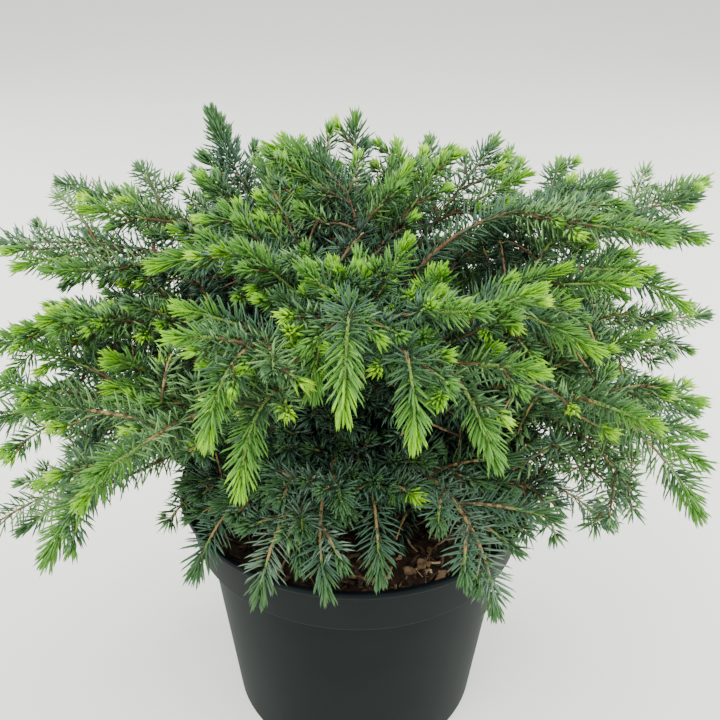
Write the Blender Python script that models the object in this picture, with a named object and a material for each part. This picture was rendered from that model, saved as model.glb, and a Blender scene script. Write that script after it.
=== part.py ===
"""A dwarf black spruce in a round nursery pot: a low, wide mound of arching sprays.

Metres, +Z up. The origin is the centre of the pot's flat underside, and -Y is the front.
"""
import math

import bmesh
import bpy
import numpy as np

UP = np.array((0.0, 0.0, 1.0))
GAP = 0.0003
WELD = 0.00002

# Pot: a tapering body under a wider band with a rolled lip
POT_HEIGHT = 0.145
POT_FOOT_RADIUS = 0.0705
POT_FOOT_CHAMFER = 0.0015
POT_BODY_TOP_RADIUS = 0.0826
POT_BAND_BOTTOM = 0.1162
POT_BAND_STEP = 0.0006
POT_BAND_RADIUS = 0.0891
POT_BAND_TOP_RADIUS = 0.0926
POT_LIP_RADIUS = 0.0950
POT_LIP_HEIGHT = 0.0040
POT_LIP_ROUND = 0.0010
POT_LIP_WIDTH = 0.0026
POT_WALL = 0.0014
POT_INNER_STEP = 0.00084
POT_FLOOR = 0.0020
POT_SIDES = 40
DRAIN_HOLES = 8
DRAIN_RADIUS = 0.0045
DRAIN_CIRCLE = 0.0520
DRAIN_SIDES = 8

# Soil and bark mulch that fill the pot
SOIL_TOP = 0.135
SOIL_CLEARANCE = 0.0006
SOIL_EDGE_CLEARANCE = 0.0008
SOIL_SIDES = 28
SOIL_RINGS = (0.018, 0.039, 0.059, 0.077)
SOIL_ROUGHNESS = 0.0022
SOIL_FLAT_RADIUS = 0.020

# Trunk
TRUNK_TOP = 0.208
TRUNK_FOOT_RADIUS = 0.0078
TRUNK_TOP_RADIUS = 0.0058
FLARE_RADIUS = 0.0050
FLARE_HEIGHT = 0.0060
FLARE_LOBES = 5
FLARE_LOBE_DEPTH = 0.3
TRUNK_SIDES = 14
TRUNK_RINGS = (0.0, 0.003, 0.007, 0.013, 0.024, 0.048)
TRUNK_LEAN = np.array((0.0020, 0.0012, 0.0))

# Limbs and shoots
LIMB_ROOT_RADIUS = 0.0023
LIMB_TIP_RADIUS = 0.0016
LIMB_SIDES = 5
LIMB_RING_STEP = 0.015
LIMB_SHARE = 0.42
LOW_LIMB_LIFT = 34
LIFT_PER_MM = 0.5
START_SCALE = 0.00086
BOUGH_RISE = 0.8
LEADER_RISE = 0.7
LEADER_LIFT = 76
TIP_PULL = 0.42
CURVE_POINTS = 80
SHOOT_CURVE_POINTS = 20
NEARLY_UPRIGHT = 0.2
SIDE_RADIUS = 0.0013
TIP_RADIUS = 0.0008
FORK_RING_RADIUS = 0.0036
FORK_FIRST_AZIMUTH = -30
FORK_AZIMUTH_STEP = 60
STEP = 0.002

# Radius at the root of a mass's stem, and its bare length, by what carries it
STEM_ROOTS = {"bough": (0.0017, 0.008), "trunk": (0.0021, 0.040), "fork": (0.0014, 0.026)}

# Side shoots
SIDE_SPACE = 0.007
SIDE_LONGEST = 0.070
SIDE_SHORTEST = 0.022
SIDE_GIVE_UP = 0.016
SIDE_TRIALS = 10
SIDE_JITTER = 0.03
SIDE_LENGTHS = (0.55, 0.85)
SIDE_ANGLES = (42, 60)
SIDE_LIFTS = (-10, 40)
SIDE_DROOPS = (0.0, 0.25)
OWN_WAY = 0.75
STEM_WAY = 0.45
ROOT_POINTS = 4
RETRY_SHRINK = 0.88
RETRY_LIFT = math.radians(12)
RETRY_TURN = 12
FIRST_SHOOT = {"bough": 0.12, "trunk": 0.35, "fork": 0.35}
LAST_SHOOT = 0.66

# Needles, drawn as teeth on a three-sided core
TOOTH_STEP = 0.0150
TOOTH_LENGTH = 0.0140
TOOTH_SHORTEST = 0.0060
TOOTH_SAMPLES = (0.4, 0.7, 1.0)
TOOTH_LEAN = math.radians(40)
TOOTH_MARGIN = 0.0045
FORK_SPACE = 0.0075
TOOTH_TWIST = math.radians(25)
END_TOOTH = 0.0085
POT_MARGIN = 0.0025

# Boughs that leave the trunk's side: name, azimuth, reach, height of the tip, dip at the tip,
# turn at the tip, start above the soil in mm, rise, side shoots. Angles are in degrees.
BOUGHS = (
    ("right_high", 24, 0.207, 0.282, -8, 5, 40, 0.62, 4),
    ("right_back", 40, 0.196, 0.272, 0, 4, 51, 0.60, 4),
    ("top_right", -49, 0.084, 0.258, 24, 0, 40, 0.72, 4),
    ("right_middle", -4, 0.154, 0.252, 28, -20, 50, 0.62, 4),
    ("right_front", -27, 0.170, 0.183, 58, 0, 34, 0.66, 5),
    ("front_upper", -32, 0.116, 0.254, 22, 0, 61, 0.62, 4),
    ("front_right", -61, 0.124, 0.154, 74, 0, 20, 0.55, 4),
    ("front_big", -66, 0.127, 0.237, 45, 0, 50, 0.66, 5),
    ("front_left", -116, 0.127, 0.245, 66, 0, 47, 0.62, 4),
    ("left_front", -140, 0.167, 0.179, 56, 0, 34, 0.60, 5),
    ("left_low", -162, 0.200, 0.204, 14, 0, 26, 0.56, 4),
    ("left_middle", -178, 0.188, 0.222, 12, 0, 42, 0.62, 4),
    ("left_upper", 163, 0.204, 0.252, 8, 0, 50, 0.62, 4),
    ("left_back", 150, 0.196, 0.273, -4, 0, 58, 0.60, 4),
    ("back_left", 124, 0.180, 0.232, 20, 0, 38, 0.60, 4),
    ("back_middle", 94, 0.182, 0.240, 24, 0, 50, 0.62, 4),
    ("back_right", 66, 0.186, 0.208, 24, 0, 28, 0.56, 4),
)

# Sprays that spring from the trunk itself, low ones and front ones, in the same terms
LOW_SPRAYS = (
    ("right_low", 17, 0.204, 0.212, 6, 5, 24, 0.56, 4),
    ("right_under", 2, 0.176, 0.182, 12, 0, 13, 0.50, 4),
    ("right_foot", -15, 0.132, 0.140, 34, -10, 6, 0.45, 4),
    ("front_star", -84, 0.100, 0.164, 62, 0, 13, 0.60, 4),
    ("front_foot", -97, 0.105, 0.160, 68, 40, 26, 0.80, 5),
    ("front_low", -112, 0.110, 0.154, 66, 0, 7, 0.60, 5),
    ("front_under", -130, 0.112, 0.152, 60, 0, 18, 0.55, 4),
    ("fall_left", -111, 0.124, 0.222, 76, 0, 40, 0.70, 5),
    ("fall_middle", -92, 0.125, 0.263, 66, 0, 57, 0.66, 5),
    ("fall_right", -80, 0.124, 0.251, 72, 0, 33, 0.70, 5),
    ("left_foot", -168, 0.190, 0.137, 30, 0, 8, 0.50, 4),
    ("left_under", 163, 0.136, 0.160, 40, 0, 19, 0.50, 4),
    ("back_under", 138, 0.176, 0.178, 34, 0, 27, 0.50, 4),
    ("back_low", 112, 0.130, 0.152, 50, 0, 9, 0.50, 4),
    ("back_foot", 76, 0.140, 0.158, 46, 0, 16, 0.50, 4),
    ("side_foot", 38, 0.142, 0.156, 44, 0, 8, 0.50, 4),
)

# Leaders that stand on the trunk's fork: name, azimuth, reach, height, dip, turn, rise, side shoots
LEADERS = (
    ("crest_forward", 136, 0.058, 0.310, -10, 44, 0.80, 4),
    ("crest_right", 50, 0.112, 0.301, -32, 0, 0.60, 5),
    ("crest_middle", 92, 0.072, 0.315, -72, 0, 0.55, 4),
    ("crest_left", 141, 0.096, 0.319, -66, 0, 0.62, 4),
    ("top_left", -160, 0.092, 0.278, 10, 0, 0.60, 4),
    ("top_front", -100, 0.098, 0.256, 52, 0, 0.60, 4),
    ("right_upper", 12, 0.178, 0.268, 18, -5, 0.90, 1),
)

# Colours, linear
POT_COLOUR = (0.030, 0.034, 0.037)
MULCH_COLOUR = (0.115, 0.050, 0.022)
BARK_COLOUR = (0.230, 0.105, 0.040)
OLD_NEEDLE_COLOUR = (0.050, 0.150, 0.090)
FRESH_NEEDLE_COLOUR = (0.130, 0.330, 0.055)


def clear_scene():
    for item in list(bpy.data.objects):
        bpy.data.objects.remove(item, do_unlink=True)


def make_material(name, colour, roughness):
    material = bpy.data.materials.new(name)
    material.use_nodes = True
    shader = material.node_tree.nodes["Principled BSDF"]
    shader.inputs["Base Color"].default_value = (*colour, 1.0)
    shader.inputs["Roughness"].default_value = roughness
    shader.inputs["Metallic"].default_value = 0.0
    return material


def make_object(name, bm, material=None):
    mesh = bpy.data.meshes.new(name)
    bmesh.ops.recalc_face_normals(bm, faces=bm.faces)
    bm.to_mesh(mesh)
    bm.free()
    if material is not None:
        mesh.materials.append(material)
    item = bpy.data.objects.new(name, mesh)
    bpy.context.scene.collection.objects.link(item)
    return item


def ring(bm, radius, height, sides):
    """One level ring of vertices; a radius of zero gives a single point."""
    if radius == 0:
        return [bm.verts.new((0, 0, height))]
    corners = []
    for k in range(sides):
        angle = 2 * math.pi * k / sides
        corners.append(bm.verts.new((radius * math.cos(angle), radius * math.sin(angle), height)))
    return corners


def bridge(bm, lower, upper):
    """Quads between two rings of the same length."""
    count = len(lower)
    faces = []
    for k in range(count):
        faces.append(bm.faces.new((lower[k], lower[(k + 1) % count], upper[(k + 1) % count], upper[k])))
    return faces


def apply_boolean(item, operation, tools):
    """Joins or cuts with every object of one collection, then removes that collection's objects."""
    group = bpy.data.collections.new(item.name + "_tools")
    bpy.context.scene.collection.children.link(group)
    for tool in tools:
        bpy.context.scene.collection.objects.unlink(tool)
        group.objects.link(tool)
        tool.hide_render = True
        tool.display_type = "WIRE"
    modifier = item.modifiers.new("Join", "BOOLEAN")
    modifier.operation = operation
    modifier.operand_type = "COLLECTION"
    modifier.collection = group
    modifier.solver = "MANIFOLD" if operation == "UNION" else "EXACT"
    bpy.context.view_layer.update()
    evaluated = item.evaluated_get(bpy.context.evaluated_depsgraph_get())
    mesh = bpy.data.meshes.new_from_object(evaluated)
    item.modifiers.clear()
    item.data = mesh
    for tool in list(group.objects):
        bpy.data.objects.remove(tool, do_unlink=True)
    bpy.data.collections.remove(group)


def keep_main_shell(item):
    """Keeps the largest shell, so that a hollow that joining sealed is filled and scrap is dropped."""
    bm = bmesh.new()
    bm.from_mesh(item.data)
    bmesh.ops.triangulate(bm, faces=bm.faces)
    bmesh.ops.dissolve_degenerate(bm, edges=bm.edges, dist=WELD)
    bmesh.ops.triangulate(bm, faces=bm.faces)
    left = set(bm.faces)
    shells = []
    while left:
        shell = {left.pop()}
        edge = list(shell)
        while edge:
            for side in edge.pop().edges:
                for face in side.link_faces if len(side.link_faces) == 2 else ():
                    if face in left:
                        left.remove(face)
                        shell.add(face)
                        edge.append(face)
        shells.append(shell)
    shells.sort(key=len)
    for shell in shells[:-1]:
        bmesh.ops.delete(bm, geom=list(shell), context="FACES")
    bm.to_mesh(item.data)
    bm.free()


def unit(vector):
    return vector / np.linalg.norm(vector)


def heading(azimuth, dip):
    """Direction from an azimuth and a dip below the level, both in degrees."""
    turn, fall = math.radians(azimuth), math.radians(dip)
    return np.array((math.cos(turn) * math.cos(fall), math.sin(turn) * math.cos(fall), -math.sin(fall)))


def curve(points, count):
    """A Bezier curve through three or four control points."""
    t = np.linspace(0, 1, count)[:, None]
    while len(points) > 1:
        points = [(1 - t) * a + t * b for a, b in zip(points, points[1:])]
    return points[0]


def evenly(line, step):
    """The same line with its points a steady step apart."""
    lengths = np.concatenate(([0], np.cumsum(np.linalg.norm(np.diff(line, axis=0), axis=1))))
    count = max(3, int(round(lengths[-1] / step)) + 1)
    places = np.linspace(0, lengths[-1], count)
    return np.stack([np.interp(places, lengths, line[:, axis]) for axis in range(3)], 1)


def trunk_axis(height):
    """Centre of the leaning trunk at one height."""
    share = (height - SOIL_TOP) / (TRUNK_TOP - SOIL_TOP)
    return TRUNK_LEAN * share + UP * height


def bough_line(row):
    """A bough's whole line: up and out from the trunk, over its crest and down to its tip."""
    name, azimuth, reach, height, dip, turn, start, rise, shoots = row
    base = trunk_axis(SOIL_TOP + start * START_SCALE)
    tip = UP * height + heading(azimuth, 0) * reach
    span = np.linalg.norm(tip - base)
    lift = heading(azimuth, -(LOW_LIMB_LIFT + LIFT_PER_MM * start))
    end = heading(azimuth + turn, dip)
    points = [base, base + lift * span * rise * BOUGH_RISE, tip - end * span * TIP_PULL, tip]
    return evenly(curve(points, CURVE_POINTS), STEP)


def leader_line(row, place):
    """A leader's whole line, from its own seat on the trunk's fork to its tip."""
    name, azimuth, reach, height, dip, turn, rise, shoots = row
    seat = FORK_AZIMUTH_STEP * place + FORK_FIRST_AZIMUTH
    base = trunk_axis(TRUNK_TOP) + UP * GAP
    lift = UP
    if place:
        base = base + heading(seat, 0) * FORK_RING_RADIUS
        lift = heading(seat, -LEADER_LIFT)
    tip = UP * height + heading(azimuth, 0) * reach
    span = np.linalg.norm(tip - base)
    end = heading(azimuth + turn, dip)
    points = [base, base + lift * span * rise * LEADER_RISE, tip - end * span * TIP_PULL, tip]
    return evenly(curve(points, CURVE_POINTS), STEP)


def plan_limbs():
    """Every bough and leader, with the bare limb and the foliage's stem as lines."""
    masses = []
    for row in BOUGHS:
        line = bough_line(row)
        cut = int(len(line) * LIMB_SHARE)
        masses.append({"name": row[0], "carrier": "bough", "limb": line[:cut + 1], "stem": line[cut:],
                       "shoots": row[-1]})
    for row in LOW_SPRAYS:
        masses.append({"name": row[0], "carrier": "trunk", "stem": bough_line(row), "shoots": row[-1]})
    for place, row in enumerate(LEADERS):
        masses.append({"name": row[0], "carrier": "fork", "stem": leader_line(row, place), "shoots": row[-1]})
    for number, mass in enumerate(masses):
        mass["number"] = number
        mass["sides"] = []
    return masses


def lines_of(mass):
    limb = [mass["limb"]] if mass["carrier"] == "bough" else []
    return limb + [mass["stem"]] + mass["sides"]


def nearest(points, lines):
    """Smallest distance from any of the points to any of the lines."""
    cloud = np.concatenate(lines)
    return math.sqrt(((points[:, None] - cloud[None]) ** 2).sum(2).min())


def side_shoot(stem, index, side, angle, lift, length, droop):
    """A shoot that leaves the stem sideways and bends towards the stem's own way."""
    root = stem[index]
    along = unit(stem[min(index + 1, len(stem) - 1)] - stem[index - 1])
    across = np.cross(along, UP)
    if np.linalg.norm(across) < NEARLY_UPRIGHT:
        across = np.cross(along, np.array((0.0, 1.0, 0.0)))
    across = unit(across)
    above = np.cross(across, along)
    out = math.cos(lift) * side * across + math.sin(lift) * above
    first = unit(math.cos(angle) * along + math.sin(angle) * out)
    last = unit(first * OWN_WAY + along * STEM_WAY - UP * droop)
    middle = root + first * length * 0.5
    return evenly(curve([root, middle, middle + last * length * 0.5], SHOOT_CURVE_POINTS), STEP)


def outer_radius(height):
    """Outside radius of the pot at one height."""
    if height > POT_BAND_BOTTOM:
        return POT_LIP_RADIUS
    share = max(0.0, height / POT_BAND_BOTTOM)
    return POT_FOOT_RADIUS + (POT_BODY_TOP_RADIUS - POT_FOOT_RADIUS) * share


def meets_pot(points, margin):
    """True where any point is in the pot's wall or in the soil, or nearer to them than the margin."""
    for x, y, z in points:
        out = math.hypot(x, y)
        if z > POT_HEIGHT + margin or out > outer_radius(z) + margin:
            continue
        inside = out < POT_BAND_RADIUS - POT_WALL - margin
        if not inside or z < SOIL_TOP + SOIL_ROUGHNESS + margin:
            return True
    return False


def grow_side_shoots(masses):
    """Adds side shoots in turn to each stem, each where it keeps clear of the other masses."""
    for turn in range(max(mass["shoots"] for mass in masses)):
        for mass in masses:
            if turn >= mass["shoots"]:
                continue
            draw = np.random.default_rng(100 * mass["number"] + turn)
            stem = mass["stem"]
            first = FIRST_SHOOT[mass["carrier"]]
            share = first + (LAST_SHOOT - first) * (turn + 0.5) / mass["shoots"]
            share += draw.uniform(-SIDE_JITTER, SIDE_JITTER)
            index = int(len(stem) * share)
            side = 1 if (turn + mass["number"]) % 2 else -1
            left = (len(stem) - index) * STEP
            length = min(SIDE_LONGEST, max(SIDE_SHORTEST, left * draw.uniform(*SIDE_LENGTHS)))
            angle = math.radians(draw.uniform(*SIDE_ANGLES))
            lift = math.radians(draw.uniform(*SIDE_LIFTS))
            others = [line for other in masses if other is not mass for line in lines_of(other)]
            for trial in range(SIDE_TRIALS):
                shoot = side_shoot(stem, index, side, angle, lift, length, draw.uniform(*SIDE_DROOPS))
                if nearest(shoot[ROOT_POINTS:], others) > SIDE_SPACE and not meets_pot(shoot, SIDE_SPACE):
                    mass["sides"].append(shoot)
                    break
                length *= RETRY_SHRINK
                lift += RETRY_LIFT
                angle += math.radians(draw.uniform(-RETRY_TURN, RETRY_TURN))
                if length < SIDE_GIVE_UP:
                    break


def frames(line):
    """Tangent and two square directions at each point, carried along without twist."""
    tangents = np.gradient(line, axis=0)
    tangents /= np.linalg.norm(tangents, axis=1)[:, None]
    across = np.cross(tangents[0], UP)
    if np.linalg.norm(across) < NEARLY_UPRIGHT:
        across = np.cross(tangents[0], np.array((0.0, 1.0, 0.0)))
    result = []
    for tangent in tangents:
        across = unit(across - tangent * np.dot(across, tangent))
        result.append((tangent, across, np.cross(across, tangent)))
    return result


def tube_rings(bm, line, radii, sides, twist):
    rings = []
    for index, (point, frame) in enumerate(zip(line, frames(line))):
        corners = []
        for k in range(sides):
            angle = 2 * math.pi * k / sides + twist * index
            offset = math.cos(angle) * frame[1] + math.sin(angle) * frame[2]
            corners.append(bm.verts.new(point + offset * radii[index]))
        rings.append(corners)
    return rings


def tooth_length(root, way, others, own_forks):
    """Length a tooth may have and stay in its own mass's space, or 0 where it has no room."""
    tip = np.array([root + way * TOOTH_LENGTH])
    length = min(TOOTH_LENGTH, nearest(tip, others) - TOOTH_MARGIN)
    samples = [root + way * length * share for share in TOOTH_SAMPLES]
    if length < TOOTH_SHORTEST or meets_pot(samples, POT_MARGIN):
        return 0.0
    if own_forks and nearest(np.array([root]), own_forks) < FORK_SPACE:
        return 0.0
    return length


def make_shoot(name, line, root_radius, bare, others, own_forks):
    """A slim three-sided core with teeth for needles, except on the bare length at its root."""
    bm = bmesh.new()
    line = evenly(line, TOOTH_STEP)
    count = len(line)
    radii = np.linspace(root_radius, TIP_RADIUS, count)
    rings = tube_rings(bm, line, radii, 3, TOOTH_TWIST)
    for index in range(count - 1):
        along = unit(line[index + 1] - line[index])
        middle = (line[index + 1] + line[index]) / 2
        for face in bridge(bm, rings[index], rings[index + 1]):
            if (index + 0.5) * TOOTH_STEP < bare:
                continue
            centre = np.array(face.calc_center_median())
            out = centre - middle
            out = unit(out - along * np.dot(out, along))
            way = unit(out * math.cos(TOOTH_LEAN) + along * math.sin(TOOTH_LEAN))
            length = tooth_length(centre, way, others, own_forks)
            if length > 0:
                poked = bmesh.ops.poke(bm, faces=[face])
                poked["verts"][0].co = centre + way * length
    bm.faces.new(list(reversed(rings[0])))
    end = bm.faces.new(rings[-1])
    poked = bmesh.ops.poke(bm, faces=[end])
    poked["verts"][0].co = line[-1] + unit(line[-1] - line[-2]) * END_TOOTH
    return make_object(name, bm)


def make_foliage(mass, masses, material):
    """One mass: the stem and its side shoots, joined into a single solid."""
    others = [line for other in masses if other is not mass for line in lines_of(other)]
    others.append(np.array([trunk_axis(height) for height in np.arange(SOIL_TOP, TRUNK_TOP, 2 * STEP)]))
    line = mass["stem"]
    if mass["carrier"] == "bough":
        others.append(mass["limb"][:-3])
        line = np.concatenate(([line[0] + unit(line[1] - line[0]) * GAP], line[1:]))
    radius, bare = STEM_ROOTS[mass["carrier"]]
    forks = [shoot[:ROOT_POINTS] for shoot in mass["sides"]]
    name = "spray_" + mass["name"]
    body = make_shoot(name, line, radius, bare, others, forks)
    tools = []
    for number, shoot in enumerate(mass["sides"]):
        side_name = name + "_side_" + str(number)
        tools.append(make_shoot(side_name, shoot, SIDE_RADIUS, TOOTH_STEP, others, []))
    apply_boolean(body, "UNION", tools)
    if mass["carrier"] == "trunk":
        apply_boolean(body, "DIFFERENCE", [make_trunk("trunk_room", None, GAP)])
    keep_main_shell(body)
    body.data.materials.clear()
    body.data.materials.append(material)
    return body


def make_limb(mass, material):
    """A bare tapering limb, from the trunk's side to where its foliage begins."""
    bm = bmesh.new()
    line = mass["limb"]
    end_way = unit(mass["stem"][1] - mass["stem"][0])
    rough = evenly(line, LIMB_RING_STEP)
    radii = np.linspace(LIMB_ROOT_RADIUS, LIMB_TIP_RADIUS, len(rough))
    rough[-2] = rough[-1] - end_way * LIMB_RING_STEP
    rings = tube_rings(bm, rough, radii, LIMB_SIDES, 0.0)
    for lower, upper in zip(rings, rings[1:]):
        bridge(bm, lower, upper)
    bm.faces.new(list(reversed(rings[0])))
    bm.faces.new(rings[-1])
    limb = make_object("bough_" + mass["name"], bm, material)
    apply_boolean(limb, "DIFFERENCE", [make_trunk("trunk_room", None, GAP)])
    return limb


def trunk_radius(height, angle):
    share = (height - SOIL_TOP) / (TRUNK_TOP - SOIL_TOP)
    plain = TRUNK_FOOT_RADIUS + (TRUNK_TOP_RADIUS - TRUNK_FOOT_RADIUS) * share
    flare = math.exp(-(height - SOIL_TOP) / FLARE_HEIGHT)
    return plain + FLARE_RADIUS * flare * (1 - FLARE_LOBE_DEPTH * (1 - math.cos(FLARE_LOBES * angle)))


def make_trunk(name, material, room=0.0):
    """The trunk from its flat cut at the soil to its fork, or the room it needs round it."""
    bm = bmesh.new()
    heights = [SOIL_TOP + GAP + rise for rise in TRUNK_RINGS] + [TRUNK_TOP]
    rings = []
    for height in heights:
        centre = trunk_axis(height)
        corners = []
        for k in range(TRUNK_SIDES):
            angle = 2 * math.pi * k / TRUNK_SIDES
            out = trunk_radius(height, angle) + room / math.cos(math.pi / TRUNK_SIDES)
            corners.append(bm.verts.new(centre + heading(math.degrees(angle), 0) * out))
        rings.append(corners)
    for lower, upper in zip(rings, rings[1:]):
        bridge(bm, lower, upper)
    bm.faces.new(list(reversed(rings[0])))
    bm.faces.new(rings[-1])
    return make_object(name, bm, material)


def make_pot(material):
    """The pot as one turned shell, with round drain holes through its floor."""
    bm = bmesh.new()
    lip_bottom = POT_HEIGHT - POT_LIP_HEIGHT
    shell = (
        (POT_FOOT_RADIUS - POT_FOOT_CHAMFER, 0.0),
        (POT_FOOT_RADIUS, POT_FOOT_CHAMFER),
        (POT_BODY_TOP_RADIUS, POT_BAND_BOTTOM),
        (POT_BAND_RADIUS, POT_BAND_BOTTOM + POT_BAND_STEP),
        (POT_BAND_TOP_RADIUS, lip_bottom),
        (POT_LIP_RADIUS, lip_bottom + POT_LIP_ROUND),
        (POT_LIP_RADIUS, POT_HEIGHT - POT_LIP_ROUND),
        (POT_LIP_RADIUS - POT_LIP_ROUND, POT_HEIGHT),
        (POT_LIP_RADIUS - POT_LIP_WIDTH, POT_HEIGHT),
        (POT_BAND_TOP_RADIUS - POT_WALL, lip_bottom),
        (POT_BAND_RADIUS - POT_WALL, POT_BAND_BOTTOM + POT_BAND_STEP + POT_WALL),
        (POT_BODY_TOP_RADIUS - POT_WALL, POT_BAND_BOTTOM + POT_INNER_STEP),
        (POT_FOOT_RADIUS - POT_WALL, POT_FLOOR),
    )
    rings = [ring(bm, radius, height, POT_SIDES) for radius, height in shell]
    for lower, upper in zip(rings, rings[1:]):
        bridge(bm, lower, upper)
    bm.faces.new(list(reversed(rings[0])))
    bm.faces.new(rings[-1])
    pot = make_object("pot", bm, material)
    drills = []
    for number in range(DRAIN_HOLES):
        drill = bmesh.new()
        centre = heading(360 * number / DRAIN_HOLES, 0) * DRAIN_CIRCLE
        bmesh.ops.create_cone(drill, cap_ends=True, segments=DRAIN_SIDES, radius1=DRAIN_RADIUS,
                              radius2=DRAIN_RADIUS, depth=POT_FLOOR * 4)
        bmesh.ops.translate(drill, verts=drill.verts, vec=centre)
        drills.append(make_object("drill_" + str(number), drill))
    apply_boolean(pot, "DIFFERENCE", drills)
    pot.data.materials.clear()
    pot.data.materials.append(material)
    pot.data.shade_smooth()
    pot.data.set_sharp_from_angle(angle=math.radians(35))
    return pot


def make_soil(material):
    """Soil up to the mulch, which is uneven except under the trunk's flat foot."""
    bm = bmesh.new()
    draw = np.random.default_rng(7)
    inset = POT_WALL + SOIL_CLEARANCE
    shell = (
        (POT_FOOT_RADIUS - inset, POT_FLOOR + GAP),
        (POT_BODY_TOP_RADIUS - inset, POT_BAND_BOTTOM + POT_INNER_STEP + SOIL_CLEARANCE),
        (POT_BAND_RADIUS - inset, POT_BAND_BOTTOM + POT_BAND_STEP + POT_WALL + SOIL_CLEARANCE),
        (POT_BAND_TOP_RADIUS - inset - SOIL_EDGE_CLEARANCE, SOIL_TOP),
    )
    rings = [ring(bm, radius, height, SOIL_SIDES) for radius, height in shell]
    for radius in reversed(SOIL_RINGS):
        rings.append(ring(bm, radius, SOIL_TOP, SOIL_SIDES))
        if radius > SOIL_FLAT_RADIUS:
            for corner in rings[-1]:
                corner.co.z += draw.uniform(-1, 1) * SOIL_ROUGHNESS
    for lower, upper in zip(rings, rings[1:]):
        bridge(bm, lower, upper)
    bm.faces.new(list(reversed(rings[0])))
    bm.faces.new(rings[-1])
    bmesh.ops.triangulate(bm, faces=[face for face in bm.faces if len(face.verts) == 4])
    return make_object("mulch", bm, material)


def build():
    clear_scene()
    plastic = make_material("pot_plastic", POT_COLOUR, 0.45)
    bark_chips = make_material("mulch_bark", MULCH_COLOUR, 0.95)
    bark = make_material("bark", BARK_COLOUR, 0.85)
    old_needles = make_material("old_needles", OLD_NEEDLE_COLOUR, 0.6)
    fresh_needles = make_material("fresh_needles", FRESH_NEEDLE_COLOUR, 0.55)
    make_pot(plastic)
    make_soil(bark_chips)
    make_trunk("trunk", bark)
    masses = plan_limbs()
    grow_side_shoots(masses)
    for mass in masses:
        if mass["carrier"] == "bough":
            make_limb(mass, bark)
        fresh = mass["number"] % 3 == 0
        make_foliage(mass, masses, fresh_needles if fresh else old_needles)


build()
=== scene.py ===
"""A potted dwarf black spruce: needles, twigs, bark, mulch and pot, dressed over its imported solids.

Metres, +Z up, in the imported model's frame. The photograph looks along +Y.
"""
import math

import bpy
import numpy as np
from mathutils import Matrix, Vector


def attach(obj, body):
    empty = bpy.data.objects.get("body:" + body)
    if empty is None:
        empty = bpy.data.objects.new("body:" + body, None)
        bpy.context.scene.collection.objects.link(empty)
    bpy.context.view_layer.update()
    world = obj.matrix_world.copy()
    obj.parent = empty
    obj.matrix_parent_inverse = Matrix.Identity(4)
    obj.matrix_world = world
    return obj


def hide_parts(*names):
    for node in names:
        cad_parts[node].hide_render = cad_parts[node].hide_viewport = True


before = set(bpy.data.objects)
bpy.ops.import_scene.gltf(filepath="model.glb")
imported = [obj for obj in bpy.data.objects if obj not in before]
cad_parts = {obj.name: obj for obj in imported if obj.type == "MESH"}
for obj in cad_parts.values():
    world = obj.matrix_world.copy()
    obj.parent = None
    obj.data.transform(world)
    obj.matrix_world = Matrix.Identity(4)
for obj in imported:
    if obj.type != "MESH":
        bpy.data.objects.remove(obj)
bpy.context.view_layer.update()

UP = np.array((0.0, 0.0, 1.0))

# The photograph's view: focal length in pixels of a 720 pixel frame, pitch and roll in degrees
FRAME_PIXELS = 720
FOCAL_PIXELS = 870
SENSOR_WIDTH = 36.0
CAMERA_PLACE = (0.0011, -0.3881, 0.4258)
CAMERA_PITCH = 28.65
CAMERA_ROLL = 0.6

# Pot and mulch, as in the source
POT_HEIGHT = 0.145
POT_FOOT_RADIUS = 0.0705
POT_BODY_TOP_RADIUS = 0.0826
POT_BAND_BOTTOM = 0.1162
POT_BAND_RADIUS = 0.0891
POT_BAND_TOP_RADIUS = 0.0926
POT_LIP_RADIUS = 0.0950
POT_LIP_HEIGHT = 0.0040
POT_WALL = 0.0014
POT_FLOOR = 0.0020
SOIL_TOP = 0.135
SOIL_ROUGHNESS = 0.0022
# Painted light and shade on the mulch: chips lying high in this lit gap at the front are paler, those elsewhere darker
# as painted shade under the foliage
LIT_MULCH_GAP = np.array((0.040, -0.066))
LIT_MULCH_GAP_RADIUS = 0.034

# Trunk and growth rule, as in the source
GAP = 0.0003
TRUNK_TOP = 0.208
TRUNK_FOOT_RADIUS = 0.0078
TRUNK_TOP_RADIUS = 0.0058
FLARE_RADIUS = 0.0050
FLARE_HEIGHT = 0.0060
FLARE_LOBES = 5
FLARE_LOBE_DEPTH = 0.3
TRUNK_LEAN = np.array((0.0020, 0.0012, 0.0))
LIMB_ROOT_RADIUS = 0.0023
LIMB_TIP_RADIUS = 0.0016
LIMB_SHARE = 0.42
LOW_LIMB_LIFT = 34
LIFT_PER_MM = 0.5
START_SCALE = 0.00086
BOUGH_RISE = 0.8
LEADER_RISE = 0.7
LEADER_LIFT = 76
TIP_PULL = 0.42
CURVE_POINTS = 80
SHOOT_CURVE_POINTS = 20
NEARLY_UPRIGHT = 0.2
SIDE_RADIUS = 0.0013
TIP_RADIUS = 0.0008
FORK_RING_RADIUS = 0.0036
FORK_FIRST_AZIMUTH = -30
FORK_AZIMUTH_STEP = 60
STEP = 0.002
SIDE_SPACE = 0.007
SIDE_LONGEST = 0.070
SIDE_SHORTEST = 0.022
SIDE_GIVE_UP = 0.016
SIDE_TRIALS = 10
SIDE_JITTER = 0.03
SIDE_LENGTHS = (0.55, 0.85)
SIDE_ANGLES = (42, 60)
SIDE_LIFTS = (-10, 40)
SIDE_DROOPS = (0.0, 0.25)
OWN_WAY = 0.75
STEM_WAY = 0.45
ROOT_POINTS = 4
RETRY_SHRINK = 0.88
RETRY_LIFT = math.radians(12)
RETRY_TURN = 12
FIRST_SHOOT = {"bough": 0.12, "trunk": 0.35, "fork": 0.35}
LAST_SHOOT = 0.66

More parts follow.
